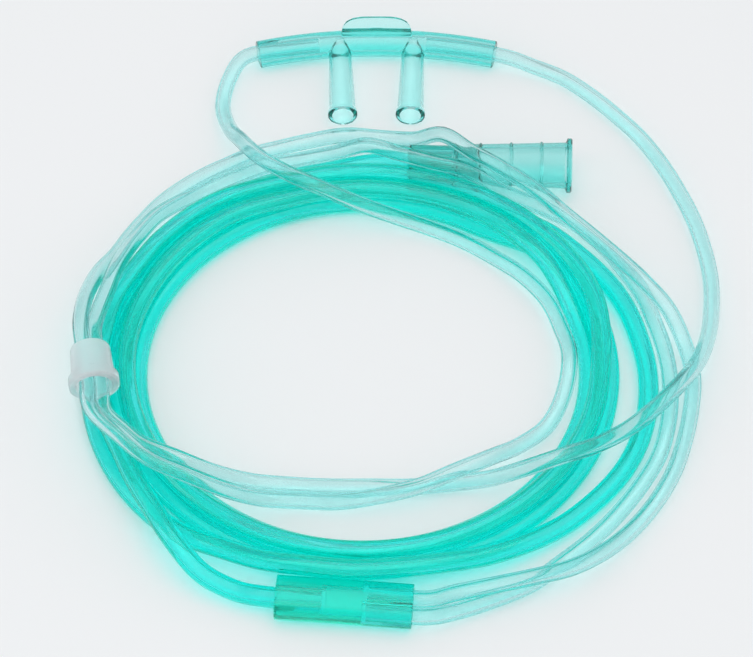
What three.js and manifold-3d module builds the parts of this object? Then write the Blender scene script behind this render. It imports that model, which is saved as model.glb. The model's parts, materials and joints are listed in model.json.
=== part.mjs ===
import * as THREE from "three";
import { mergeVertices } from "three/addons/utils/BufferGeometryUtils.js";
import Module from "manifold-3d";

// Nasal oxygen cannula, laid down in a loose coil. Millimetres, +Z up, floor at z = 0.

// Tubing
const supplyDiameter = 4.7;
const lariatDiameter = 3.8;
const tubeSides = 8;
const seatGap = 0.3;
const socketClearance = 0.1;
const straightRun = 3.5;
const cutPast = 1;

// Nosepiece
const noseDiameter = 6.8;
const noseSpan = 59;
const noseRise = 3.8;
const noseEndY = 84;
const noseBore = 4.3;
const noseSides = 20;
const noseSteps = 22;
const prongSpacing = 18.4;
const prongConverge = 0.9;
const prongReach = 23.2;
const prongRootDiameter = 5.4;
const prongTipDiameter = 6.6;
const prongBore = 4.4;
const tabWidth = 17.4;
const tabDepth = 5;
const tabThickness = 1.5;
const tabTilt = 18;
const tabDrop = 2.4;
const tabRoot = 1;

// Ring slider
const sliderLength = 10.5;
const sliderPlace = [-64.1, -18.8, 15.4];
const sliderTurn = 9;
const sliderWall = 0.75;
const sliderClearance = 0.2;
const sliderTaper = 0.25;
const flangeLength = 3;
const flangeProud = 0.95;
const flangeBevel = 0.4;
const tipBevel = 0.5;
const twinSpacing = 3.9;

// Connector where the two small tubes meet the supply tube
const yLength = 30;
const yHeight = 7.2;
const yWall = 0.9;
const yPlace = [-22, -71.2];
const yTurn = -4.6;
const yTwinSpacing = 4.4;
const ySocketDepth = 11;
const ySides = 24;
const ySquareness = 0.8;
const boreSides = 20;

// Oxygen outlet connector
const outletPlace = [7.8, 48.7, 4.6];
const outletTurn = -3.9;
const outletLift = 3.1;
const socketDiameter = 8.7;
const socketLength = 11.5;
const coneLength = 26.7;
const coneStartDiameter = 9.4;
const coneEndDiameter = 11.2;
const rimDiameter = 13.2;
const rimLength = 1.3;
const mouthDiameter = 8.8;
const mouthEndDiameter = 7.4;
const mouthDepth = 22;
const lumenDiameter = 3;
const coneShoulder = 0.5;
const outletSides = 32;

// Coil of supply tube: three turns, two side by side on the floor and one on top of them
const coilPlace = [-3.1, -10.3];
const coilRadiusX = 52.1;
const coilRadiusY = 48.6;
const coilLane = 4.75;
const coilBevel = 0.6;
const coilSides = 72;

const supplyRadius = supplyDiameter / 2;
const lariatRadius = lariatDiameter / 2;
const crownY = noseEndY + noseRise;
const socketBore = supplyRadius + socketClearance;

function solidGeometry(vertices, triangles) {
  const geometry = new THREE.BufferGeometry();
  geometry.setAttribute("position", new THREE.BufferAttribute(vertices, 3));
  geometry.setIndex(new THREE.BufferAttribute(triangles, 1));
  geometry.computeVertexNormals();
  return geometry;
}

function welded(geometry) {
  const bare = geometry.clone();
  bare.deleteAttribute("normal");
  bare.deleteAttribute("uv");
  return mergeVertices(bare, 1e-4);
}

const wasm = await Module();
wasm.setup();

function toSolid(geometry) {
  const bare = welded(geometry);
  const vertProperties = Float32Array.from(bare.attributes.position.array);
  const triVerts = Uint32Array.from(bare.index.array);
  return new wasm.Manifold(new wasm.Mesh({ numProp: 3, vertProperties, triVerts }));
}

function toGeometry(solid) {
  const mesh = solid.getMesh();
  return solidGeometry(Float32Array.from(mesh.vertProperties), Uint32Array.from(mesh.triVerts));
}

// A cylinder or cone along +Y from y = start to y = end, closed at both ends
function roundBar(startRadius, endRadius, start, end, sides) {
  const bar = new THREE.CylinderGeometry(endRadius, startRadius, end - start, sides);
  bar.translate(0, (start + end) / 2, 0);
  return bar;
}

function turned(profile, sides) {
  return new THREE.LatheGeometry(profile.map(([r, y]) => new THREE.Vector2(r, y)), sides);
}

function roundSection(radius, sides) {
  const section = new THREE.Shape();
  for (let i = 0; i < sides; i++) {
    const angle = ((i + 0.5) / sides) * 2 * Math.PI;
    const x = radius * Math.cos(angle);
    const y = radius * Math.sin(angle);
    if (i === 0) section.moveTo(x, y);
    else section.lineTo(x, y);
  }
  section.closePath();
  return section;
}

function alongCurve(curve, radius, sides, steps) {
  const options = { steps, extrudePath: curve, bevelEnabled: false };
  return new THREE.ExtrudeGeometry(roundSection(radius, sides), options);
}

// A free tube through hand-picked points, with a step about every two and a half diameters
function tube(points, diameter) {
  const curve = new THREE.CatmullRomCurve3(points.map((p) => new THREE.Vector3(...p)));
  const steps = Math.min(80, Math.round(curve.getLength() / (2 * diameter)));
  return alongCurve(curve, diameter / 2, tubeSides, steps);
}

// Nosepiece: an arched tube with two flared prongs towards -Y and a lip tab behind
function nosepiece() {
  const radius = noseDiameter / 2;
  const arch = (lengthen) => {
    const half = noseSpan / 2 + lengthen;
    const endY = crownY - noseRise * (half / (noseSpan / 2)) ** 2;
    const middleY = 2 * crownY - endY;
    return new THREE.QuadraticBezierCurve3(
      new THREE.Vector3(-half, endY, radius),
      new THREE.Vector3(0, middleY, radius),
      new THREE.Vector3(half, endY, radius)
    );
  };
  let shell = toSolid(alongCurve(arch(0), radius, noseSides, noseSteps));
  let bore = toSolid(alongCurve(arch(cutPast), noseBore / 2, noseSides, noseSteps));
  for (const side of [-1, 1]) {
    const lean = -Math.atan2(prongConverge * side, prongReach);
    const place = (geometry) => {
      geometry.rotateZ(Math.PI + lean);
      geometry.translate((side * prongSpacing) / 2, crownY, radius);
      return toSolid(geometry);
    };
    const prong = roundBar(prongRootDiameter / 2, prongTipDiameter / 2, 0, prongReach, noseSides);
    const hole = roundBar(prongBore / 2, prongBore / 2, 0, prongReach + cutPast, noseSides);
    shell = shell.add(place(prong));
    bore = bore.add(place(hole));
  }
  const tab = new THREE.Shape();
  tab.moveTo(-tabWidth / 2, -tabRoot);
  tab.lineTo(tabWidth / 2, -tabRoot);
  tab.bezierCurveTo(tabWidth / 2, tabDepth, tabWidth / 4, tabDepth, 0, tabDepth);
  tab.bezierCurveTo(-tabWidth / 4, tabDepth, -tabWidth / 2, tabDepth, -tabWidth / 2, -tabRoot);
  const options = { depth: tabThickness, bevelEnabled: false, curveSegments: 8 };
  const flap = new THREE.ExtrudeGeometry(tab, options);
  flap.rotateX(THREE.MathUtils.degToRad(tabTilt));
  flap.translate(0, crownY, noseDiameter - tabDrop);
  shell = shell.add(toSolid(flap));
  return toGeometry(shell.subtract(bore));
}

// Ring slider: a short sleeve round both small tubes, with a flange at its wide end
function slider() {
  const boreRadius = twinSpacing / 2 + lariatRadius + sliderClearance;
  const bodyRadius = boreRadius + sliderWall;
  const flangeRadius = bodyRadius + flangeProud;
  const half = sliderLength / 2;
  const profile = [
    [boreRadius, -half],
    [flangeRadius - flangeBevel, -half],
    [flangeRadius, -half + flangeBevel],
    [flangeRadius, -half + flangeLength - flangeBevel],
    [bodyRadius, -half + flangeLength],
    [bodyRadius - sliderTaper, half - tipBevel],
    [bodyRadius - sliderTaper - tipBevel, half],
    [boreRadius, half],
    [boreRadius, -half],
  ];
  return turned(profile, outletSides);
}

// Flattened connector body: one socket for the supply tube, two for the small tubes
function ovalBar(width, height, length) {
  const section = new THREE.Shape();
  for (let i = 0; i < ySides; i++) {
    const angle = (i / ySides) * 2 * Math.PI;
    const c = Math.cos(angle);
    const s = Math.sin(angle);
    const x = (Math.sign(c) * Math.abs(c) ** ySquareness * width) / 2;
    const y = (Math.sign(s) * Math.abs(s) ** ySquareness * height) / 2;
    if (i === 0) section.moveTo(x, y);
    else section.lineTo(x, y);
  }
  section.closePath();
  const bar = new THREE.ExtrudeGeometry(section, { depth: length, bevelEnabled: false });
  bar.rotateX(Math.PI / 2);
  bar.rotateZ(Math.PI / 2);
  return bar;
}

function yConnector() {
  const width = yTwinSpacing + lariatDiameter + 2 * yWall;
  let body = toSolid(ovalBar(width, yHeight, yLength));
  const along = (geometry, y) => {
    geometry.rotateZ(-Math.PI / 2);
    geometry.translate(0, y, 0);
    return toSolid(geometry);
  };
  const lariatBore = lariatRadius + socketClearance;
  body = body.subtract(along(roundBar(socketBore, socketBore, -cutPast, ySocketDepth, boreSides), 0));
  for (const side of [-1, 1]) {
    const socket = roundBar(lariatBore, lariatBore, yLength - ySocketDepth, yLength + cutPast, boreSides);
    body = body.subtract(along(socket, (side * yTwinSpacing) / 2));
  }
  const linkLength = yLength - 2 * ySocketDepth + 2 * cutPast;
  const link = new THREE.BoxGeometry(linkLength, yTwinSpacing + lariatRadius, lariatRadius);
  link.translate(yLength / 2, 0, 0);
  body = body.subtract(toSolid(link));
  return toGeometry(body);
}

// Outlet connector: a socket for the supply tube, a ribbed cone and a rim round the mouth
function outletConnector() {
  const coneStart = socketLength;
  const coneEnd = coneStart + coneLength;
  const total = coneEnd + rimLength;
  const profile = [
    [socketBore, 0],
    [socketDiameter / 2, 0],
    [socketDiameter / 2, socketLength],
    [coneStartDiameter / 2, coneStart + coneShoulder],
    [coneEndDiameter / 2, coneEnd],
    [rimDiameter / 2, coneEnd],
    [rimDiameter / 2, total],
    [mouthDiameter / 2, total],
    [mouthEndDiameter / 2, total - mouthDepth],
    [lumenDiameter / 2, total - mouthDepth],
    [lumenDiameter / 2, socketLength],
    [socketBore, socketLength],
    [socketBore, 0],
  ];
  return turned(profile, outletSides);
}

// Outer shape of the coil: a stepped ring, wide at the floor and narrow at the turn on top
function coil() {
  const low = supplyDiameter;
  const high = supplyDiameter + Math.sqrt(supplyDiameter ** 2 - (coilLane / 2) ** 2);
  const inner = -supplyRadius;
  const outer = coilLane + supplyRadius;
  const crestInner = coilLane / 2 - supplyRadius;
  const crestOuter = coilLane / 2 + supplyRadius;
  const bevel = coilBevel;
  const profile = [
    [inner, bevel],
    [inner + bevel, 0],
    [outer - bevel, 0],
    [outer, bevel],
    [outer, low - bevel],
    [outer - bevel, low],
    [crestOuter, low],
    [crestOuter, high - bevel],
    [crestOuter - bevel, high],
    [crestInner + bevel, high],
    [crestInner, high - bevel],
    [crestInner, low],
    [inner + bevel, low],
    [inner, low - bevel],
    [inner, bevel],
  ];
  const ring = turned(profile.map(([offset, z]) => [coilRadiusX + offset, z]), coilSides);
  ring.rotateX(Math.PI / 2);
  ring.scale(1, coilRadiusY / coilRadiusX, 1);
  return ring;
}

// Left small tube: out of the nosepiece, over the coil, through the slider and round to the connector
const leftRoute = [
  [-36.5, 77, 2.5], [-38, 68.5, 2], [-36, 60, 4], [-33, 52.5, 8.8], [-28, 45.5, 10.8],
  [-21, 40, 11.4], [-13, 36, 11], [-4.5, 34, 7.5], [4, 32.5, 4.5], [12.5, 30.5, 2.5],
  [20.5, 27, 2], [28, 22, 2], [34.5, 16, 3], [40, 8.5, 3.5], [43, 0.5, 3.5],
  [44.5, -8.5, 5], [43, -17.5, 3.5], [39, -25.5, 2], [32.5, -31.5, 3], [26, -36.5, 6],
  [18, -40.5, 6.5], [9.5, -44, 5.5], [1, -45.5, 4], [-8, -46.5, 3], [-17, -46, 2.5],
  [-26, -46.5, 4.5], [-33.5, -47, 9], [-42, -45.5, 13], [-50.5, -42, 14.5], [-57, -37, 16],
];
const leftReturn = [
  [-67.3, -1, 14.5], [-66.6, 6, 11.4], [-64.7, 13, 8.8], [-61.6, 19.5, 6.2], [-59, 26, 4.2],
  [-55.8, 32, 3], [-52, 37.5, 2.6], [-47.5, 42.2, 2.3], [-42.3, 46.2, 2.3], [-36.7, 49.4, 2.5],
  [-30.8, 52, 3.2], [-24.5, 53.8, 3.6], [-16.5, 55.9, 3.9], [-7.5, 57.2, 4.6], [1.5, 56.8, 4.1],
  [9, 55.2, 5.5], [16, 52, 11.3], [22.5, 46, 12.5], [30, 41.5, 11.5], [37.5, 37.5, 9],
  [44.5, 32, 6.5], [51, 26, 5.5], [57, 19, 6], [62.5, 11.5, 7], [68, 4.5, 5.5],
  [71.5, -3, 2.5], [73, -12, 2], [72, -21, 2], [70, -29.5, 2], [67, -38, 2],
  [62.5, -46, 2], [57, -53, 2], [50.5, -59.5, 3.5], [43, -64.5, 5], [34.5, -67.5, 6],
  [26, -69.5, 6], [17, -71, 5],
];

// Right small tube: the wide outer loop, over the coil, along the inside and through the slider
const rightRoute = [
  [39, 81, 2.5], [46.5, 77.5, 2], [53.5, 71.5, 2], [59.5, 65, 2], [65, 58, 2],
  [69.5, 50, 2], [73, 42, 2], [76, 33.5, 2], [78, 24.5, 2], [79, 15.5, 2],
  [78.5, 6.5, 2.5], [77, -2, 4], [74, -10.5, 6], [69, -18, 7.5], [63, -24.5, 7.5],
  [56.5, -30.5, 8], [49, -36, 10], [41.5, -40, 12], [33, -41.5, 9], [25.5, -41, 4],
  [17, -41, 2], [8, -42, 2], [-1, -42, 2], [-10.5, -42, 2], [-19.5, -41.5, 2],
  [-28, -41.5, 3.5], [-36.5, -41.5, 7.5], [-44.5, -40.5, 12], [-52.5, -36.5, 11.5], [-57, -33, 12.3],
];
const rightReturn = [
  [-64, -1.5, 12.3], [-62.5, 5.5, 11], [-60.8, 12.5, 10.7], [-58.8, 18.5, 9.3], [-56.2, 24.5, 7.7],
  [-52.5, 31, 6.3], [-48.3, 35.8, 4.6], [-43.5, 40.2, 2.7], [-38.3, 43.8, 2], [-32.5, 46.8, 2],
  [-26.5, 49.5, 2], [-18.5, 51.6, 2], [-10, 52.7, 3.4], [-2.5, 51.2, 8.2], [5.5, 46.5, 11],
  [13.5, 44, 10.8], [22, 42, 9.8], [30.5, 39, 5.5], [39, 36.5, 3], [47, 32.5, 2],
  [53.5, 26, 2], [58.5, 18.5, 2], [62.5, 10.5, 2.5], [65, 2, 3], [67, -7, 3],
  [67.5, -16, 3], [66.5, -25, 2.5], [64, -33.5, 2], [59.5, -41.5, 2], [54, -49, 2],
  [48, -55.5, 2], [41, -61.5, 2], [34, -67, 2], [25.5, -71, 2], [17, -74.3, 2.5],
];

// Supply tube: its outermost turn up to the outlet connector, and its start at the flattened connector
const outerRoute = [
  [47, 24.5, 2.5], [53, 16.5, 2.5], [58, 8, 2.5], [61, -1.5, 2.5], [62.5, -11, 2.5],
  [62, -21, 2.5], [59.5, -30.5, 2.5], [55, -39, 2.5], [48.5, -46.5, 2.5], [41, -53, 3],
  [32.5, -58, 4], [23.5, -62, 5.5], [14.5, -64.5, 7], [4.5, -66, 7.5], [-5.5, -66.5, 7.5],
  [-15, -65.5, 7.5], [-25, -63.5, 6.5], [-34, -60, 5.5], [-42.5, -55.5, 3.5], [-50, -49.5, 2.5],
  [-56.5, -42, 2.5], [-61.5, -33, 2.5], [-64.5, -24, 2.5], [-66, -14, 2.5], [-65.5, -4, 2.5],
  [-63, 5.5, 2.5], [-59, 14.5, 2.5], [-54, 23, 2.5], [-47, 30, 2.5], [-39.5, 36.5, 2.5],
  [-31, 41.5, 2.5], [-22, 45, 2.5], [-12, 47.5, 2.5], [-2.5, 49, 3.6],
];
const leadRoute = [
  [-31, -69.3, 3.2], [-38.5, -65.5, 4.5], [-45, -58.5, 7.5], [-49.5, -51, 7.5], [-54, -43, 7.5],
  [-57.5, -35, 7], [-61, -27, 7], [-63, -18.5, 7], [-63.5, -9.5, 7], [-62.5, -1.5, 7],
  [-60.5, 7, 7], [-56.5, 15, 7],
];

// Places that the tubes share with the fittings
function placed(origin, turn, lift, offset) {
  const point = new THREE.Vector3(...offset);
  point.applyAxisAngle(new THREE.Vector3(0, 1, 0), -THREE.MathUtils.degToRad(lift));
  point.applyAxisAngle(new THREE.Vector3(0, 0, 1), THREE.MathUtils.degToRad(turn));
  return point.add(new THREE.Vector3(...origin)).toArray();
}

function throughSlider(side) {
  const step = (side * twinSpacing) / Math.sqrt(8);
  const at = (along) => placed(sliderPlace, sliderTurn, 0, [step, along, -step]);
  const reach = sliderLength / 2;
  return [-reach - 6, -reach + 1, reach - 1, reach + 6].map(at);
}

function atYConnector(along, side) {
  const origin = [...yPlace, yHeight / 2];
  return placed(origin, yTurn, 0, [along, (side * yTwinSpacing) / 2, 0]);
}

function atNosepiece(along, side) {
  const slope = Math.atan2(-4 * noseRise, noseSpan);
  const x = noseSpan / 2 + along * Math.cos(slope);
  return [side * x, noseEndY + along * Math.sin(slope), noseDiameter / 2];
}

function atOutlet(along) {
  return placed(outletPlace, outletTurn, outletLift, [along, 0, 0]);
}

const left = [
  atNosepiece(seatGap, -1),
  atNosepiece(straightRun, -1),
  ...leftRoute,
  ...throughSlider(-1),
  ...leftReturn,
  atYConnector(yLength + straightRun, 1),
  atYConnector(yLength + seatGap, 1),
];
const right = [
  atNosepiece(seatGap, 1),
  atNosepiece(straightRun, 1),
  ...rightRoute,
  ...throughSlider(1),
  ...rightReturn,
  atYConnector(yLength + straightRun, -1),
  atYConnector(yLength + seatGap, -1),
];
const lead = [atYConnector(-seatGap, 0), atYConnector(-straightRun, 0), ...leadRoute];
const outer = [...outerRoute, atOutlet(-straightRun), atOutlet(-seatGap)];

const clearTeal = new THREE.MeshStandardMaterial({ color: 0x3fd0c0, roughness: 0.2, metalness: 0 });
const paleTeal = new THREE.MeshStandardMaterial({ color: 0x9fdcd6, roughness: 0.2, metalness: 0 });
const frosted = new THREE.MeshStandardMaterial({ color: 0xdde9ea, roughness: 0.5, metalness: 0 });
const fitting = new THREE.MeshStandardMaterial({ color: 0x6fd4c6, roughness: 0.25, metalness: 0 });

const cannula = new THREE.Group();

function add(name, geometry, material) {
  const mesh = new THREE.Mesh(geometry, material.clone());
  mesh.name = name;
  cannula.add(mesh);
  return mesh;
}

add("nosepiece", nosepiece(), fitting);
add("lariat_left", tube(left, lariatDiameter), paleTeal);
add("lariat_right", tube(right, lariatDiameter), paleTeal);

const sliderMesh = add("slider", slider(), frosted);
sliderMesh.position.set(...sliderPlace);
sliderMesh.rotation.z = THREE.MathUtils.degToRad(sliderTurn);

const yMesh = add("y_connector", yConnector(), fitting);
yMesh.position.set(...yPlace, yHeight / 2);
yMesh.rotation.z = THREE.MathUtils.degToRad(yTurn);

add("supply_lead", tube(lead, supplyDiameter), clearTeal);
const coilMesh = add("supply_coil", coil(), clearTeal);
coilMesh.position.set(...coilPlace, 0);
add("supply_outer_turn", tube(outer, supplyDiameter), clearTeal);

const outletTilt = new THREE.Group();
const outletMesh = new THREE.Mesh(outletConnector(), fitting.clone());
outletMesh.name = "outlet_connector";
outletMesh.rotation.z = -Math.PI / 2;
outletTilt.add(outletMesh);
outletTilt.rotation.order = "ZYX";
outletTilt.rotation.set(0, -THREE.MathUtils.degToRad(outletLift), THREE.MathUtils.degToRad(outletTurn));
outletTilt.position.set(...outletPlace);
cannula.add(outletTilt);

// The origin lies on the floor, under the middle of the box round the fittings
cannula.updateMatrixWorld(true);
const fittings = new THREE.Box3();
for (const name of ["nosepiece", "slider", "y_connector", "outlet_connector"]) {
  fittings.expandByObject(cannula.getObjectByName(name), true);
}
const middle = fittings.getCenter(new THREE.Vector3());
cannula.position.set(-middle.x, -middle.y, -fittings.min.z);

export default cannula;
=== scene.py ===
import json
import math

import bmesh
import bpy
from mathutils import Matrix, Vector

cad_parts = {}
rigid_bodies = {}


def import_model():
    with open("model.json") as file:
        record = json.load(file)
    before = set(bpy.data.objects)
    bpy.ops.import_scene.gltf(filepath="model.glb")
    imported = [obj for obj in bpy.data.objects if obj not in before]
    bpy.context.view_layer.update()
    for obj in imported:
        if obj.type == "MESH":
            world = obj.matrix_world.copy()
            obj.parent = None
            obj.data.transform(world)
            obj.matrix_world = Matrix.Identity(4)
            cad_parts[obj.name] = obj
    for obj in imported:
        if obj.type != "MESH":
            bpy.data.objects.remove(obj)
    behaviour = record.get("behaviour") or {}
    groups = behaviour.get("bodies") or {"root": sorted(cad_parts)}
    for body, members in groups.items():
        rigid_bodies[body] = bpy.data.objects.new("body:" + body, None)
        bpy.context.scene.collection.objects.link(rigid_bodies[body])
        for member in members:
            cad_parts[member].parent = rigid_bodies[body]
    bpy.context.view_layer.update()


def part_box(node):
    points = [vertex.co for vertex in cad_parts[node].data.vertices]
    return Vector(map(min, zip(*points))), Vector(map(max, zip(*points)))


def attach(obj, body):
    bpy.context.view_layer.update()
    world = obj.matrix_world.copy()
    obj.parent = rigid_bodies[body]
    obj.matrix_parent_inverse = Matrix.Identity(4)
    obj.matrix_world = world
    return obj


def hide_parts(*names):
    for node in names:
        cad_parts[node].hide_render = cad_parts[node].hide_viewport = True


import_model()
print("frame loaded")

coil = {"centre": Vector((-3.1, -10.3, 0)), "radiusX": 52.1, "radiusY": 48.6}

# routes and fittings are drawn in millimetres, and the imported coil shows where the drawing's zero is
millimetres = 1000
coilLow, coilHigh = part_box("supply_coil")
drawingZero = (coilLow + coilHigh) / 2 * millimetres - coil["centre"]
drawingZero.z = 0
toRow = Matrix.Scale(1 / millimetres, 4) @ Matrix.Translation(drawingZero)


# Camera, at the photograph's viewing angle

photoView = {
    "aim": (0, 0, 4), "elevation": 55, "distance": 650, "lens": 133.6, "sensor": 36, "near": 0.02, "far": 50,
}


def addCamera(view):
    tilt = math.radians(view["elevation"])
    back = Vector((0, -math.cos(tilt), math.sin(tilt)))
    data = bpy.data.cameras.new("photoCamera")
    data.lens = view["lens"]
    data.sensor_width = view["sensor"]
    data.sensor_fit = "HORIZONTAL"
    data.clip_start = view["near"]
    data.clip_end = view["far"]
    camera = bpy.data.objects.new("photoCamera", data)
    camera.location = toRow @ (Vector(view["aim"]) + back * view["distance"])
    camera.rotation_mode = "QUATERNION"
    camera.rotation_quaternion = (-back).to_track_quat("-Z", "Y")
    bpy.context.scene.collection.objects.link(camera)
    bpy.context.scene.camera = camera


addCamera(photoView)


# Routes

def smoothPath(points, spacing, steps=16):
    # a centripetal curve through the points, then even steps along it
    points = [Vector(p) for p in points]
    padded = [2 * points[0] - points[1], *points, 2 * points[-1] - points[-2]]
    dense = []
    for p0, p1, p2, p3 in zip(padded, padded[1:], padded[2:], padded[3:]):
        d0, d1, d2 = ((b - a).length ** 0.5 for a, b in ((p0, p1), (p1, p2), (p2, p3)))
        t1 = ((p1 - p0) / d0 - (p2 - p0) / (d0 + d1) + (p2 - p1) / d1) * d1
        t2 = ((p2 - p1) / d1 - (p3 - p1) / (d1 + d2) + (p3 - p2) / d2) * d1
        for i in range(steps):
            s = i / steps
            dense.append(
                (2 * s**3 - 3 * s * s + 1) * p1
                + (s**3 - 2 * s * s + s) * t1
                + (3 * s * s - 2 * s**3) * p2
                + (s**3 - s * s) * t2
            )
    dense.append(points[-1])
    return evenly(dense, spacing)


def evenly(line, spacing):
    lengths = [0.0]
    for a, b in zip(line, line[1:]):
        lengths.append(lengths[-1] + (b - a).length)
    count = max(2, round(lengths[-1] / spacing))
    out = []
    k = 0
    for i in range(count + 1):
        want = lengths[-1] * i / count
        while k < len(line) - 2 and lengths[k + 1] < want:
            k += 1
        t = (want - lengths[k]) / (lengths[k + 1] - lengths[k])
        out.append(line[k].lerp(line[k + 1], t))
    return out


def pathLength(path):
    return sum((b - a).length for a, b in zip(path, path[1:]))


# Where the fittings lie, and how far the tubes run into them

connector = {
    "place": (-22, -71.2, 3.6), "turn": -4.6, "length": 30, "twin": 4.4,
    "width": 10, "height": 7.2, "socket": 11,
}
outlet = {"place": (7.8, 48.7, 4.6), "turn": -3.9, "lift": 3.1, "socket": 11.5, "cone": 26.7}
ring = {"place": (-64.1, -18.8, 15.4), "turn": 9, "length": 10.5, "twin": 3.9, "run": 6, "inset": 1}
nose = {
    "span": 59, "rise": 3.8, "endY": 84, "height": 3.4, "diameter": 6.8,
    "leftDepth": 15, "rightDepth": 17, "halfway": 8,
}
straightRun = 3.5
seatGap = 1


def fittingMatrix(fitting):
    turn = Matrix.Rotation(math.radians(fitting["turn"]), 4, "Z")
    lift = Matrix.Rotation(-math.radians(fitting.get("lift", 0)), 4, "Y")
    return Matrix.Translation(fitting["place"]) @ turn @ lift


def atConnector(along, side):
    return fittingMatrix(connector) @ Vector((along, side * connector["twin"] / 2, 0))


def atOutlet(along):
    return fittingMatrix(outlet) @ Vector((along, 0, 0))


def throughRing(side):
    step = side * ring["twin"] / math.sqrt(8)
    reach = ring["length"] / 2
    outside = reach + ring["run"]
    inside = reach - ring["inset"]
    stops = (-outside, -inside, inside, outside)
    return [fittingMatrix(ring) @ Vector((step, along, -step)) for along in stops]


def archPoint(x):
    crown = nose["endY"] + nose["rise"]
    return Vector((x, crown - nose["rise"] * (x / (nose["span"] / 2)) ** 2, nose["height"]))


def atNose(along, side):
    slope = math.atan2(-4 * nose["rise"], nose["span"])
    if along < 0:
        return archPoint(side * (nose["span"] / 2 + along))
    x = side * (nose["span"] / 2 + along * math.cos(slope))
    return Vector((x, nose["endY"] + along * math.sin(slope), nose["height"]))


# the supply tube's three turns, clockwise: angle, how far outside the inner lane, and height
coilStations = [
    (146, 7.7, 7.0), (130, 7.6, 7.0), (108, 5.3, 7.1), (25, 5.0, 7.05), (-5, 2.4, 6.45),
    (-235, 2.4, 6.45), (-250, 0.5, 7.05), (-320, 0.4, 7.05), (-345, 0.0, 2.35), (-662, 0.0, 2.35),
    (-685, 4.75, 2.35), (-1020, 4.8, 2.35), (-1028, 6.8, 2.35), (-1033, 7.9, 2.4), (-1043.5, 9.8, 2.45),
]


def coilPoints(stations, step=6):
    points = []
    for (a0, offset0, z0), (a1, offset1, z1) in zip(stations, stations[1:]):
        count = max(1, round((a0 - a1) / step))
        for i in range(count):
            t = i / count
            eased = t * t * (3 - 2 * t)
            angle = math.radians(a0 + (a1 - a0) * t)
            offset = offset0 + (offset1 - offset0) * eased
            x = coil["centre"].x + (coil["radiusX"] + offset) * math.cos(angle)
            y = coil["centre"].y + (coil["radiusY"] + offset) * math.sin(angle)
            points.append((x, y, z0 + (z1 - z0) * eased))
    return points


leftRoute = [
    (-36.5, 77, 2.5), (-38, 68.5, 2), (-36, 60, 4), (-33, 52.5, 8.8), (-28, 45.5, 10.8),
    (-21, 40, 11.4), (-13, 36, 11), (-4.5, 34, 7.5), (4, 32.5, 4.5), (12.5, 30.5, 2.5),
    (20.5, 27, 2), (28, 22, 2), (34.5, 16, 3), (40, 8.5, 3.5), (43, 0.5, 3.5),
    (44.5, -8.5, 5), (43, -17.5, 3.5), (39, -25.5, 2), (32.5, -31.5, 3), (26, -36.5, 6),
    (18, -40.5, 6.5), (9.5, -44, 5.5), (1, -45.5, 4), (-8, -46.5, 3), (-17, -46, 2.5),
    (-26, -46.5, 4.5), (-33.5, -47, 9), (-42, -45.5, 13), (-50.5, -42, 14.5), (-57, -37, 16),
]
leftReturn = [
    (-67.3, -1, 14.5), (-66.6, 6, 11.4), (-64.7, 13, 8.8), (-61.6, 19.5, 6.2), (-59, 26, 4.2),
    (-55.8, 32, 3), (-52, 37.5, 2.6), (-47.5, 42.2, 2.3), (-42.3, 46.2, 2.3), (-36.7, 49.4, 2.5),
    (-30.8, 52, 3.2), (-24.5, 53.8, 3.6), (-16.5, 55.9, 3.9), (-7.5, 57.2, 4.6), (1.5, 56.8, 4.1),
    (9, 55.2, 5.5), (16, 52, 11.3), (22.5, 46, 12.5), (30, 41.5, 11.5), (37.5, 37.5, 9),
    (44.5, 32, 6.5), (51, 26, 5.5), (57, 19, 6), (62.5, 11.5, 7), (68, 4.5, 5.5),
    (71.5, -3, 2.5), (73, -12, 2), (72, -21, 2), (70, -29.5, 2), (67, -38, 2),
    (62.5, -46, 2), (57, -53, 2), (50.5, -59.5, 3.5), (43, -64.5, 5), (34.5, -67.5, 6),
    (26, -69.5, 6), (17, -71, 5),
]
rightRoute = [
    (39, 81, 2.5), (46.5, 77.5, 2), (53.5, 71.5, 2), (59.5, 65, 2), (65, 58, 2),
    (69.5, 50, 2), (73, 42, 2), (76, 33.5, 2), (78, 24.5, 2), (79, 15.5, 2),
    (78.5, 6.5, 2.5), (77, -2, 4), (74, -10.5, 6), (69, -18, 7.5), (63, -24.5, 7.5),
    (56.5, -30.5, 8), (49, -36, 10), (41.5, -40, 12), (33, -41.5, 9), (25.5, -41, 4),
    (17, -41, 2), (8, -42, 2), (-1, -42, 2), (-10.5, -42, 2), (-19.5, -41.5, 2),
    (-28, -41.5, 3.5), (-36.5, -41.5, 7.5), (-44.5, -40.5, 12), (-52.5, -36.5, 11.5), (-57, -33, 12.3),
]
rightReturn = [
    (-64, -1.5, 12.3), (-62.5, 5.5, 11), (-60.8, 12.5, 10.7), (-58.8, 18.5, 9.3), (-56.2, 24.5, 7.7),
    (-52.5, 31, 6.3), (-48.3, 35.8, 4.6), (-43.5, 40.2, 2.7), (-38.3, 43.8, 2), (-32.5, 46.8, 2),
    (-26.5, 49.5, 2), (-18.5, 51.6, 2), (-10, 52.7, 3.4), (-2.5, 51.2, 8.2), (5.5, 46.5, 11),
    (13.5, 44, 10.8), (22, 42, 9.8), (30.5, 39, 5.5), (39, 36.5, 3), (47, 32.5, 2),
    (53.5, 26, 2), (58.5, 18.5, 2), (62.5, 10.5, 2.5), (65, 2, 3), (67, -7, 3),
    (67.5, -16, 3), (66.5, -25, 2.5), (64, -33.5, 2), (59.5, -41.5, 2), (54, -49, 2),
    (48, -55.5, 2), (41, -61.5, 2), (34, -67, 2), (25.5, -71, 2), (17, -74.3, 2.5),
]
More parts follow.
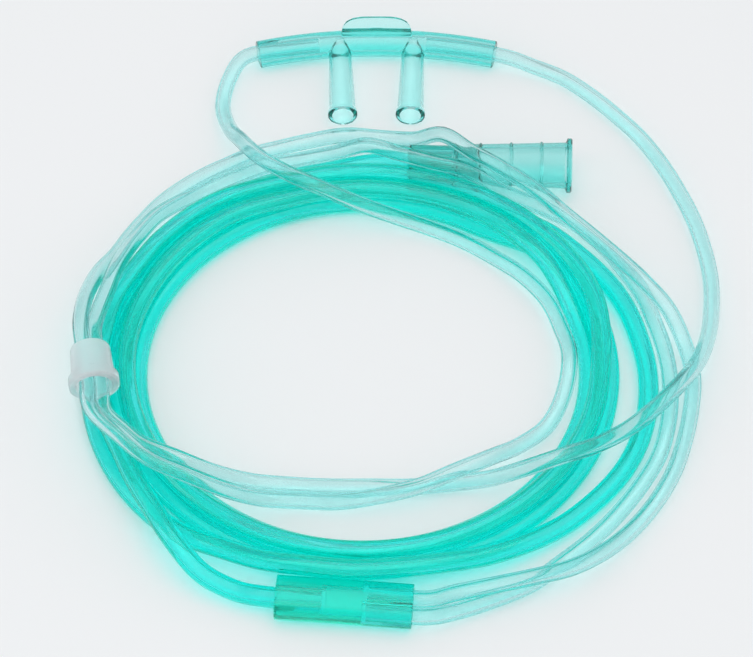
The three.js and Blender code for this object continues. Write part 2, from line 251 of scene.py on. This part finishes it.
outerRoute = [
    (47, 24.5, 2.5), (53, 16.5, 2.5), (58, 8, 2.5), (61, -1.5, 2.5), (62.5, -11, 2.5),
    (62, -21, 2.5), (59.5, -30.5, 2.5), (55, -39, 2.5), (48.5, -46.5, 2.5), (41, -53, 3),
    (32.5, -58, 4), (23.5, -62, 5.5), (14.5, -64.5, 7), (4.5, -66, 7.5), (-5.5, -66.5, 7.5),
    (-15, -65.5, 7.5), (-25, -63.5, 6.5), (-34, -60, 5.5), (-42.5, -55.5, 3.5), (-50, -49.5, 2.5),
    (-56.5, -42, 2.5), (-61.5, -33, 2.5), (-64.5, -24, 2.5), (-66, -14, 2.5), (-65.5, -4, 2.5),
    (-63, 5.5, 2.5), (-59, 14.5, 2.5), (-54, 23, 2.5), (-47, 30, 2.5), (-39.5, 36.5, 2.5),
    (-31, 41.5, 2.5), (-22, 45, 2.5), (-12, 47.5, 2.5), (-2.5, 49, 3.6),
]
leadRoute = [
    (-31, -69.3, 3.2), (-38.5, -65.5, 4.5), (-45, -58.5, 7.5), (-49.5, -51, 7.5), (-54, -43, 7.5),
    (-57.5, -35, 7), (-61, -27, 7), (-63, -18.5, 7), (-63.5, -9.5, 7), (-62.5, -1.5, 7),
    (-60.5, 7, 7), (-56.5, 15, 7),
]
connectorFar = connector["length"] + straightRun
connectorSeat = connector["length"] - connector["socket"] + seatGap
supplyRoute = [
    atConnector(connector["socket"] - seatGap, 0), atConnector(-straightRun, 0), *leadRoute[:-1],
    *coilPoints(coilStations),
    *outerRoute[1:], atOutlet(-straightRun), atOutlet(outlet["socket"] - seatGap),
]
leftTube = [
    atNose(-nose["leftDepth"], -1), atNose(-nose["halfway"], -1), atNose(straightRun, -1),
    *leftRoute, *throughRing(-1), *leftReturn,
    atConnector(connectorFar, 1), atConnector(connectorSeat, 1),
]
rightTube = [
    atNose(-nose["rightDepth"], 1), atNose(-nose["halfway"], 1), atNose(straightRun, 1),
    *rightRoute, *throughRing(1), *rightReturn,
    atConnector(connectorFar, -1), atConnector(connectorSeat, -1),
]
print("routes laid")


# Mesh helpers

def linked(name, mesh):
    obj = bpy.data.objects.new(name, mesh)
    bpy.context.scene.collection.objects.link(obj)
    return obj


def closedMesh(bm, name):
    bmesh.ops.recalc_face_normals(bm, faces=bm.faces)
    return plainMesh(bm, name)


def plainMesh(bm, name):
    mesh = bpy.data.meshes.new(name)
    bm.to_mesh(mesh)
    bm.free()
    return mesh


def shadeSmooth(mesh, creaseAngle=None):
    mesh.polygons.foreach_set("use_smooth", [True] * len(mesh.polygons))
    if creaseAngle is not None:
        mesh.set_sharp_from_angle(angle=math.radians(creaseAngle))


def frames(path):
    tangents = []
    for i, p in enumerate(path):
        before = path[max(i - 1, 0)]
        after = path[min(i + 1, len(path) - 1)]
        tangents.append((after - before).normalized())
    side = tangents[0].cross(Vector((0, 0, 1))).normalized()
    result = []
    for tangent in tangents:
        side = (side - tangent * side.dot(tangent)).normalized()
        result.append((side, tangent.cross(side)))
    return result


def sweepRings(bm, path, sides, radiusAt):
    rings = []
    for i, (point, (side, up)) in enumerate(zip(path, frames(path))):
        ringVerts = []
        for k in range(sides):
            angle = 2 * math.pi * k / sides
            radius = radiusAt(i, angle)
            outward = side * math.cos(angle) + up * math.sin(angle)
            ringVerts.append(bm.verts.new(point + outward * radius))
        rings.append(ringVerts)
    return rings


def skinRings(bm, rings, inward=False):
    sides = len(rings[0])
    for a, b in zip(rings, rings[1:]):
        for k in range(sides):
            n = (k + 1) % sides
            face = (a[k], a[n], b[n], b[k])
            bm.faces.new(face[::-1] if inward else face)


def sweptBar(name, path, sides, radiusAt):
    bm = bmesh.new()
    rings = sweepRings(bm, path, sides, radiusAt)
    skinRings(bm, rings)
    bm.faces.new(rings[0][::-1])
    bm.faces.new(rings[-1])
    return closedMesh(bm, name)


def hollowTube(name, path, sides, outerAt, innerAt):
    bm = bmesh.new()
    outer = sweepRings(bm, path, sides, outerAt)
    inner = sweepRings(bm, path, sides, innerAt)
    skinRings(bm, outer)
    skinRings(bm, inner, inward=True)
    for a, b in ((inner[0], outer[0]), (outer[-1], inner[-1])):
        for k in range(sides):
            n = (k + 1) % sides
            bm.faces.new((a[k], a[n], b[n], b[k]))
    return closedMesh(bm, name)


def turnedMesh(name, profile, sides):
    # profile is a closed loop of (along x, radius)
    bm = bmesh.new()
    rings = []
    for x, radius in profile:
        ringVerts = []
        for k in range(sides):
            angle = 2 * math.pi * k / sides
            ringVerts.append(bm.verts.new((x, radius * math.cos(angle), radius * math.sin(angle))))
        rings.append(ringVerts)
    skinRings(bm, [*rings, rings[0]])
    return closedMesh(bm, name)


def evaluated(obj, matrix):
    # the modifiers' result as an object with a plain mesh, moved by the matrix
    view = obj.evaluated_get(bpy.context.evaluated_depsgraph_get())
    mesh = bpy.data.meshes.new_from_object(view)
    mesh.transform(matrix)
    result = linked(obj.name, mesh)
    name = obj.name
    bpy.data.objects.remove(obj)
    result.name = name
    return result


def fused(name, meshes, voxel, rounds):
    bm = bmesh.new()
    for mesh in meshes:
        bm.from_mesh(mesh)
    obj = linked(name, plainMesh(bm, name))
    remesh = obj.modifiers.new("fuse", "REMESH")
    remesh.mode = "VOXEL"
    remesh.voxel_size = voxel
    smooth = obj.modifiers.new("soften", "SMOOTH")
    smooth.factor = 0.5
    smooth.iterations = rounds
    return evaluated(obj, Matrix.Identity(4))


def cut(obj, cutters):
    for mesh in cutters:
        cutter = linked("cutter", mesh)
        boolean = obj.modifiers.new("cut", "BOOLEAN")
        boolean.operation = "DIFFERENCE"
        boolean.solver = "MANIFOLD"
        boolean.object = cutter
    result = evaluated(obj, toRow)
    for cutter in [o for o in bpy.data.objects if o.name.startswith("cutter")]:
        bpy.data.objects.remove(cutter)
    return result


# Materials

skinDetail = 3


def buildSkinGroup():
    group = bpy.data.node_groups.new("vinylSkin", "ShaderNodeTree")
    for name, default in (("Scale", 400.0), ("Haze", 0.05), ("Haze Spread", 0.03)):
        socket = group.interface.new_socket(name, in_out="INPUT", socket_type="NodeSocketFloat")
        socket.default_value = default
    for name in ("Roughness", "Height"):
        group.interface.new_socket(name, in_out="OUTPUT", socket_type="NodeSocketFloat")
    nodes, links = group.nodes, group.links
    start = nodes.new("NodeGroupInput")
    end = nodes.new("NodeGroupOutput")
    coords = nodes.new("ShaderNodeTexCoord")
    noise = nodes.new("ShaderNodeTexNoise")
    noise.inputs["Detail"].default_value = skinDetail
    spread = nodes.new("ShaderNodeMath")
    spread.operation = "MULTIPLY"
    total = nodes.new("ShaderNodeMath")
    total.operation = "ADD"
    links.new(coords.outputs["Object"], noise.inputs["Vector"])
    links.new(start.outputs["Scale"], noise.inputs["Scale"])
    links.new(noise.outputs["Fac"], spread.inputs[0])
    links.new(start.outputs["Haze Spread"], spread.inputs[1])
    links.new(spread.outputs[0], total.inputs[0])
    links.new(start.outputs["Haze"], total.inputs[1])
    links.new(total.outputs[0], end.inputs["Roughness"])
    links.new(noise.outputs["Fac"], end.inputs["Height"])
    return group


skinGroup = buildSkinGroup()


def clearPlastic(look):
    material = bpy.data.materials.new(look["name"])
    material.use_nodes = True
    nodes, links = material.node_tree.nodes, material.node_tree.links
    shader = nodes["Principled BSDF"]
    shader.inputs["Base Color"].default_value = (*look["tint"], 1)
    shader.inputs["Transmission Weight"].default_value = look["transmission"]
    shader.inputs["IOR"].default_value = look["ior"]
    skin = nodes.new("ShaderNodeGroup")
    skin.node_tree = skinGroup
    skin.inputs["Scale"].default_value = look["skinScale"]
    skin.inputs["Haze"].default_value = look["haze"]
    skin.inputs["Haze Spread"].default_value = look["hazeSpread"]
    bump = nodes.new("ShaderNodeBump")
    bump.inputs["Strength"].default_value = look["bump"]
    bump.inputs["Distance"].default_value = look["bumpDepth"]
    links.new(skin.outputs["Roughness"], shader.inputs["Roughness"])
    links.new(skin.outputs["Height"], bump.inputs["Height"])
    links.new(bump.outputs["Normal"], shader.inputs["Normal"])
    absorb = nodes.new("ShaderNodeVolumeAbsorption")
    absorb.inputs["Color"].default_value = (*look["absorb"], 1)
    absorb.inputs["Density"].default_value = look["density"]
    links.new(absorb.outputs["Volume"], nodes["Material Output"].inputs["Volume"])
    # light passes on through the plastic to what lies under it
    path = nodes.new("ShaderNodeLightPath")
    clear = nodes.new("ShaderNodeBsdfTransparent")
    mix = nodes.new("ShaderNodeMixShader")
    links.new(path.outputs["Is Shadow Ray"], mix.inputs["Fac"])
    links.new(shader.outputs["BSDF"], mix.inputs[1])
    links.new(clear.outputs["BSDF"], mix.inputs[2])
    links.new(mix.outputs["Shader"], nodes["Material Output"].inputs["Surface"])
    return material


vinylLook = {
    "tint": (0.98, 1.0, 1.0), "transmission": 1.0, "ior": 1.36, "skinScale": 250.0,
    "haze": 0.1, "hazeSpread": 0.06, "bump": 0.01, "bumpDepth": 0.0001,
}


def vinyl(name, absorb, density):
    return clearPlastic({**vinylLook, "name": name, "absorb": absorb, "density": density})


deepVinyl = vinyl("deepVinyl", (0.0, 0.968, 0.945), 900.0)
paleVinyl = vinyl("paleVinyl", (0.0, 0.8, 0.79), 230.0)
connectorVinyl = vinyl("connectorVinyl", (0.0, 0.968, 0.945), 1050.0)
coneVinyl = vinyl("coneVinyl", (0.0, 0.82, 0.79), 330.0)
mouldedVinyl = vinyl("mouldedVinyl", (0.0, 0.88, 0.85), 270.0)
print("materials made")


def dressed(obj, material, node, body, creaseAngle):
    mesh = obj.data
    mesh.materials.clear()
    mesh.materials.append(material)
    mesh.polygons.foreach_set("material_index", [0] * len(mesh.polygons))
    shadeSmooth(mesh, creaseAngle)
    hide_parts(node)
    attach(obj, body)


# Cords

supplyLook = {
    "material": deepVinyl, "diameter": 4.7, "bore": 2.4, "sides": 32,
    "lobes": 3, "lobeDepth": 0.1, "turnEvery": 260.0, "spacing": 1.4, "crease": 60,
}
smallLook = {
    "material": paleVinyl, "diameter": 3.8, "bore": 2.3, "sides": 32,
    "lobes": 3, "lobeDepth": 0.08, "turnEvery": 220.0, "spacing": 1.4, "crease": 60,
}


def cordTube(name, route, look):
    path = smoothPath(route, look["spacing"])

    def outer(i, angle):
        return look["diameter"] / 2

    def inner(i, angle):
        twist = 2 * math.pi * i * look["spacing"] / look["turnEvery"]
        lobe = math.cos(look["lobes"] * (angle + twist))
        return look["bore"] / 2 * (1 + look["lobeDepth"] * lobe)

    mesh = hollowTube(name, path, look["sides"], outer, inner)
    mesh.transform(toRow)
    shadeSmooth(mesh, look["crease"])
    obj = linked(name, mesh)
    mesh.materials.append(look["material"])
    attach(obj, "cannula")
    rowPath = [toRow @ p for p in path]
    return obj, rowPath


supply, supplyPath = cordTube("supply_tube", supplyRoute, supplyLook)
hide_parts("supply_lead", "supply_coil", "supply_outer_turn")
for name, route, length in (("lariat_tube_left", leftTube, 0.647), ("lariat_tube_right", rightTube, 0.627)):
    obj, rowPath = cordTube(name, route, smallLook)
    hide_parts("lariat_left" if "left" in name else "lariat_right")
    print(name, round(pathLength(rowPath), 4))
print("supply_tube", round(pathLength(supplyPath), 4))


# Nosepiece

noseLook = {
    "prongSpacing": 18.4, "prongConverge": 0.9, "prongReach": 23.2, "rootDiameter": 5.4, "tipDiameter": 6.6,
    "rootSink": 0.3, "rim": 0.35, "rimFrom": 0.94, "prongBore": 4.3, "tipBore": 5.3, "socketBore": 4.0,
    "middleBore": 3.6, "leftSocket": 15.5, "rightSocket": 17.5, "past": 1.0, "sides": 40, "boreSides": 32,
    "archSteps": 60, "archSpacing": 1.0, "prongSteps": 24, "socketSteps": 16, "voxel": 0.2, "softening": 9,
    "tabWidth": 17.4, "tabDepth": 5.0, "tabRoot": 0.4, "tabThickness": 1.6, "tabTilt": 13, "tabHeight": 5.9,
    "tabSteps": 16, "tabSquareness": 0.6, "tabFullness": 0.7,
}


def constantRadius(diameter):
    return lambda i, angle: diameter / 2


def tabMesh(look):
    bm = bmesh.new()
    half = look["tabWidth"] / 2
    outline = [(-half, -look["tabRoot"])]
    for i in range(look["tabSteps"] + 1):
        angle = math.pi * i / look["tabSteps"]
        across = math.copysign(abs(math.cos(angle)) ** look["tabSquareness"], math.cos(angle))
        outline.append((-half * across, look["tabDepth"] * math.sin(angle) ** look["tabFullness"]))
    outline.append((half, -look["tabRoot"]))
    low = [bm.verts.new((x, y, 0)) for x, y in outline]
    high = [bm.verts.new((x, y, look["tabThickness"])) for x, y in outline]
    bm.faces.new(low[::-1])
    bm.faces.new(high)
    skinRings(bm, [low, high])
    tab = closedMesh(bm, "tab")
    tilt = Matrix.Rotation(math.radians(look["tabTilt"]), 4, "X")
    tab.transform(Matrix.Translation((0, archPoint(0).y, look["tabHeight"])) @ tilt)
    return tab


def noseSolid(look):
    half = nose["span"] / 2
    steps = look["archSteps"]
    arch = [archPoint(-half + nose["span"] * i / steps) for i in range(steps + 1)]
    centreLine = evenly(arch, look["archSpacing"])
    body = sweptBar("arch", centreLine, look["sides"], constantRadius(nose["diameter"]))
    prongs = []
    bores = []
    crown = archPoint(0)
    prongSteps = look["prongSteps"]

    def outer(i, angle):
        t = i / prongSteps
        radius = look["rootDiameter"] / 2 + (look["tipDiameter"] - look["rootDiameter"]) / 2 * t
        return radius + (look["rim"] if t > look["rimFrom"] else 0)

    def inner(i, angle):
        t = i / prongSteps
        return look["prongBore"] / 2 + (look["tipBore"] - look["prongBore"]) / 2 * t

    for side in (-1, 1):
        root = Vector((side * look["prongSpacing"] / 2, crown.y - look["rootSink"], crown.z))
        tip = root + Vector((-side * look["prongConverge"], -look["prongReach"], 0))
        line = [root.lerp(tip, i / prongSteps) for i in range(prongSteps + 1)]
        prongs.append(sweptBar("prong", line, look["sides"], outer))
        past = (tip - root).normalized() * look["past"]
        boreLine = [p + past * (i / prongSteps) for i, p in enumerate(line)]
        bores.append(sweptBar("prongBore", boreLine, look["sides"], inner))
    solid = fused("nose_piece", [body, *prongs, tabMesh(look)], look["voxel"], look["softening"])

    reach = half + look["past"]
    wide = [archPoint(-reach + 2 * reach * i / steps) for i in range(steps + 1)]
    middle = sweptBar("middleBore", wide, look["boreSides"], constantRadius(look["middleBore"]))
    sockets = []
    for side, depth in ((-1, look["leftSocket"]), (1, look["rightSocket"])):
        run = depth + look["past"]
        stops = look["socketSteps"]
        line = [archPoint(side * (reach - run * i / stops)) for i in range(stops + 1)]
        sockets.append(sweptBar("socket", line, look["boreSides"], constantRadius(look["socketBore"])))
    return cut(solid, [middle, *sockets, *bores])


nosePiece = noseSolid(noseLook)
dressed(nosePiece, mouldedVinyl, "nosepiece", "cannula", 50)
print("nosepiece made")


# Flat connector

connectorLook = {
    "squareness": 0.8, "ovalSides": 48, "supplyBore": 4.9, "smallBore": 4.0, "boreSides": 32, "past": 1,
    "chamberWidth": 6.0, "chamberHeight": 2.2, "chamberSquareness": 1.0, "voxel": 0.2, "softening": 5,
}


def ovalMesh(name, start, end, width, height, squareness, sides):
    bm = bmesh.new()
    rings = []
    for x in (start, end):
        ringVerts = []
        for k in range(sides):
            angle = 2 * math.pi * k / sides
            c = math.cos(angle)
            s = math.sin(angle)
            y = math.copysign(abs(c) ** squareness, c) * width / 2
            z = math.copysign(abs(s) ** squareness, s) * height / 2
            ringVerts.append(bm.verts.new((x, y, z)))
        rings.append(ringVerts)
    skinRings(bm, rings)
    bm.faces.new(rings[0][::-1])
    bm.faces.new(rings[1])
    return closedMesh(bm, name)


def straight(start, end, y=0.0, steps=8):
    return [Vector((start + (end - start) * i / steps, y, 0)) for i in range(steps + 1)]


def connectorSolid(look):
    length = connector["length"]
    depth = connector["socket"]
    past = look["past"]
    width = connector["width"]
    body = ovalMesh("body", 0, length, width, connector["height"], look["squareness"], look["ovalSides"])
    solid = fused("flat_connector", [body], look["voxel"], look["softening"])
    supplyBore = constantRadius(look["supplyBore"])
    smallBore = constantRadius(look["smallBore"])
    cutters = [sweptBar("supplySocket", straight(-past, depth), look["boreSides"], supplyBore)]
    for side in (-1, 1):
        line = straight(length - depth, length + past, side * connector["twin"] / 2)
        cutters.append(sweptBar("smallSocket", line, look["boreSides"], smallBore))
    cutters.append(ovalMesh(
        "chamber", depth - past, length - depth + past, look["chamberWidth"], look["chamberHeight"],
        look["chamberSquareness"], look["ovalSides"],
    ))
    place = fittingMatrix(connector)
    solid.data.transform(place)
    for mesh in cutters:
        mesh.transform(place)
    return cut(solid, cutters)


flatConnector = connectorSolid(connectorLook)
dressed(flatConnector, connectorVinyl, "y_connector", "cannula", 50)
print("connector made")


# Outlet connector

outletLook = {
    "socketRadius": 4.35, "socketBore": 2.42, "lip": 0.3, "edge": 0.4, "coneStart": 4.6, "coneEnd": 5.6,
    "shoulder": 0.45, "shoulderTop": 0.3, "shoulderFoot": 0.5, "ridges": (17.4, 24.8, 32.1),
    "ridgeHeight": 0.28, "ridgeTop": 0.2, "ridgeFoot": 0.4, "rimRadius": 6.6, "rim": 1.3, "rimBevel": 0.2,
    "rimEdge": 0.3, "mouthRadius": 4.7, "mouthThroat": 4.4, "mouthDepth": 22, "mouthEnd": 3.7,
    "mouthFloor": 3.4, "throughRadius": 1.5, "sides": 64,
}


def outletMesh(look):
    socket = outlet["socket"]
    cone = outlet["cone"]
    end = socket + cone
    total = end + look["rim"]
    shoulder = look["socketRadius"] + look["shoulder"]
    floor = total - look["mouthDepth"] - look["edge"]
    profile = [
        (look["lip"], look["socketBore"]),
        (0, look["socketBore"] + look["lip"]),
        (0, look["socketRadius"] - look["edge"]),
        (look["edge"], look["socketRadius"]),
        (socket - look["shoulderFoot"], look["socketRadius"]),
        (socket - look["shoulderTop"], shoulder),
        (socket + look["shoulderTop"], shoulder),
        (socket + look["shoulderFoot"], look["coneStart"]),
    ]
    for ridge in look["ridges"]:
        radius = look["coneStart"] + (look["coneEnd"] - look["coneStart"]) * (ridge - socket) / cone
        crest = radius + look["ridgeHeight"]
        profile += [
            (ridge - look["ridgeFoot"], radius),
            (ridge - look["ridgeTop"], crest),
            (ridge + look["ridgeTop"], crest),
            (ridge + look["ridgeFoot"], radius),
        ]
    profile += [
        (end - look["rimEdge"], look["coneEnd"]),
        (end, look["rimRadius"] - look["rimBevel"]),
        (end + look["rimBevel"], look["rimRadius"]),
        (total - look["rimEdge"], look["rimRadius"]),
        (total, look["rimRadius"] - look["rimEdge"]),
        (total, look["mouthRadius"]),
        (total - look["rimEdge"], look["mouthThroat"]),
        (total - look["mouthDepth"], look["mouthEnd"]),
        (floor, look["mouthFloor"]),
        (floor, look["throughRadius"]),
        (socket, look["throughRadius"]),
        (socket, look["socketBore"]),
    ]
    return turnedMesh("outlet_cone", profile, look["sides"])


outletPiece = linked("outlet_cone", outletMesh(outletLook))
outletPiece.data.transform(toRow @ fittingMatrix(outlet))
dressed(outletPiece, coneVinyl, "outlet_connector", "cannula", 30)


# Ring slider

frostedLook = {
    "name": "frostedPlastic", "tint": (0.97, 0.99, 1.0), "transmission": 0.8, "ior": 1.45, "skinScale": 900.0,
    "haze": 0.4, "hazeSpread": 0.15, "bump": 0.15, "bumpDepth": 0.0001,
    "absorb": (0.75, 0.92, 0.94), "density": 40.0,
}
frostedPlastic = clearPlastic(frostedLook)


ringLook = {
    "bore": 4.05, "wall": 0.75, "flange": 0.95, "flangeLength": 2.4, "flangeBevel": 0.4, "neck": 0.6,
    "neckProud": 0.1, "mouthFlare": 0.2, "taper": 0.25, "tipLength": 0.5, "tipSlope": 0.35, "tipBevel": 0.15,
    "tipEdge": 0.6, "boreBevel": 0.3, "sides": 64,
}


def ringMesh(look):
    bore = look["bore"]
    half = ring["length"] / 2
    body = bore + look["wall"]
    proud = body + look["flange"]
    profile = [
        (-half, bore + look["mouthFlare"]),
        (-half, proud - look["flangeBevel"]),
        (-half + look["flangeBevel"], proud),
        (-half + look["flangeLength"], proud),
        (-half + look["flangeLength"] + look["neck"], body + look["neckProud"]),
        (half - look["tipLength"], body - look["taper"]),
        (half - look["tipBevel"], body - look["tipSlope"]),
        (half, body - look["tipEdge"]),
        (half, bore + look["tipBevel"]),
        (half - look["boreBevel"], bore),
        (-half + look["flangeBevel"], bore),
    ]
    mesh = turnedMesh("ring_slider", profile, look["sides"])
    mesh.transform(Matrix.Rotation(math.radians(90), 4, "Z"))
    return mesh


ringSlider = linked("ring_slider", ringMesh(ringLook))
ringSlider.data.transform(toRow @ fittingMatrix(ring))
dressed(ringSlider, frostedPlastic, "slider", "slider", 35)
print("fittings made")


# Floor, world and lights

floorLook = {"halfSide": 2, "drop": 0.0002, "color": (0.86, 0.865, 0.87), "roughness": 0.7, "shine": 0.1}
worldLook = {"color": (0.93, 0.95, 0.97), "strength": 0.62}
bounces = {"max": 32, "transmission": 32, "diffuse": 4, "glossy": 8, "volume": 0}


def plainFloor(look):
    bm = bmesh.new()
    bmesh.ops.create_grid(bm, x_segments=1, y_segments=1, size=look["halfSide"])
    mesh = plainMesh(bm, "floor")
    floor = linked("floor", mesh)
    floor.location.z = -look["drop"]
    material = bpy.data.materials.new("paleFloor")
    material.use_nodes = True
    shader = material.node_tree.nodes["Principled BSDF"]
    shader.inputs["Base Color"].default_value = (*look["color"], 1)
    shader.inputs["Roughness"].default_value = look["roughness"]
    shader.inputs["Specular IOR Level"].default_value = look["shine"]
    mesh.materials.append(material)


def softLight(name, place, aim, size, power, color):
    data = bpy.data.lights.new(name, "AREA")
    data.shape = "RECTANGLE"
    data.size, data.size_y = size
    data.energy = power
    data.color = color
    light = bpy.data.objects.new(name, data)
    light.location = place
    light.rotation_mode = "QUATERNION"
    light.rotation_quaternion = (Vector(aim) - Vector(place)).to_track_quat("-Z", "Y")
    bpy.context.scene.collection.objects.link(light)


plainFloor(floorLook)
softLight("overhead", (0.1, -0.1, 1.1), (0, -0.05, 0), (1.4, 1.0), 6.2, (1, 0.995, 0.99))
softLight("fromLeft", (-1.0, -0.2, 0.6), (0, 0, 0), (0.5, 0.9), 2.0, (0.97, 0.99, 1))

world = bpy.data.worlds.new("studio")
world.use_nodes = True
background = world.node_tree.nodes["Background"]
background.inputs["Color"].default_value = (*worldLook["color"], 1)
background.inputs["Strength"].default_value = worldLook["strength"]
scene = bpy.context.scene
scene.world = world
scene.view_settings.view_transform = "Standard"
scene.cycles.max_bounces = bounces["max"]
scene.cycles.transmission_bounces = bounces["transmission"]
scene.cycles.diffuse_bounces = bounces["diffuse"]
scene.cycles.glossy_bounces = bounces["glossy"]
scene.cycles.volume_bounces = bounces["volume"]

print("scene made")
